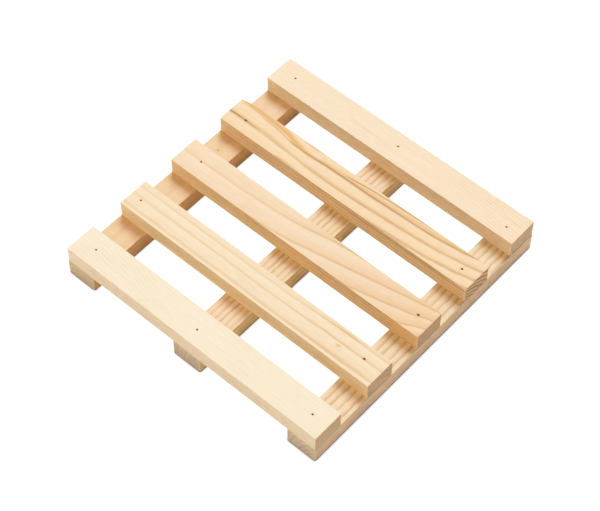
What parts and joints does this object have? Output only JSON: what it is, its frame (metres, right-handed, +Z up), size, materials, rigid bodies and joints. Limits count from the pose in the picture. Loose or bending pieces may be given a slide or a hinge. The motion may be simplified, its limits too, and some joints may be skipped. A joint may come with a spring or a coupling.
{
  "type": "wooden pallet",
  "caption": "Small nailed pallet of bare softwood: spaced deck slats laid across flat battens, open between the battens for forks or fingers.",
  "frame": {"origin": "bottom centre of the pallet, on the surface that the battens stand on", "axes": "+X along the slats towards the right batten, +Y across the slats from slat 1 to slat 5, +Z up out of the deck"},
  "size_m": [0.25, 0.254, 0.032],
  "materials": {
    "pine_cream": "planed bare softwood, almost white, hardly any figure",
    "pine_straw": "planed bare softwood, straw coloured with straight fine grain",
    "pine_peach": "planed bare softwood, warm peach with arched grain",
    "pine_amber": "planed bare softwood, strongly figured with amber latewood",
    "pine_pale": "planed bare softwood, pale peach with faint fine streaks",
    "batten_plain": "planed bare softwood, tan with faint blotches",
    "batten_striped": "planed bare softwood with bold lengthwise lines",
    "batten_ringed": "planed bare softwood with broad lengthwise rings",
    "nail_steel": "dull bright-drawn wire, darkened heads"
  },
  "bodies": {
    "root": {"slat_1": "pine_cream", "slat_2": "pine_straw", "slat_3": "pine_peach", "slat_4": "pine_amber", "slat_5": "pine_pale", "batten_left": "batten_plain", "batten_middle": "batten_striped", "batten_right": "batten_ringed", "nail_1_left": "nail_steel", "nail_1_middle": "nail_steel", "nail_1_right": "nail_steel", "nail_2_left": "nail_steel", "nail_2_right": "nail_steel", "nail_3_left": "nail_steel", "nail_3_right": "nail_steel", "nail_4_left": "nail_steel", "nail_4_right": "nail_steel", "nail_5_left": "nail_steel", "nail_5_middle": "nail_steel", "nail_5_right": "nail_steel"}
  },
  "joints": []
}
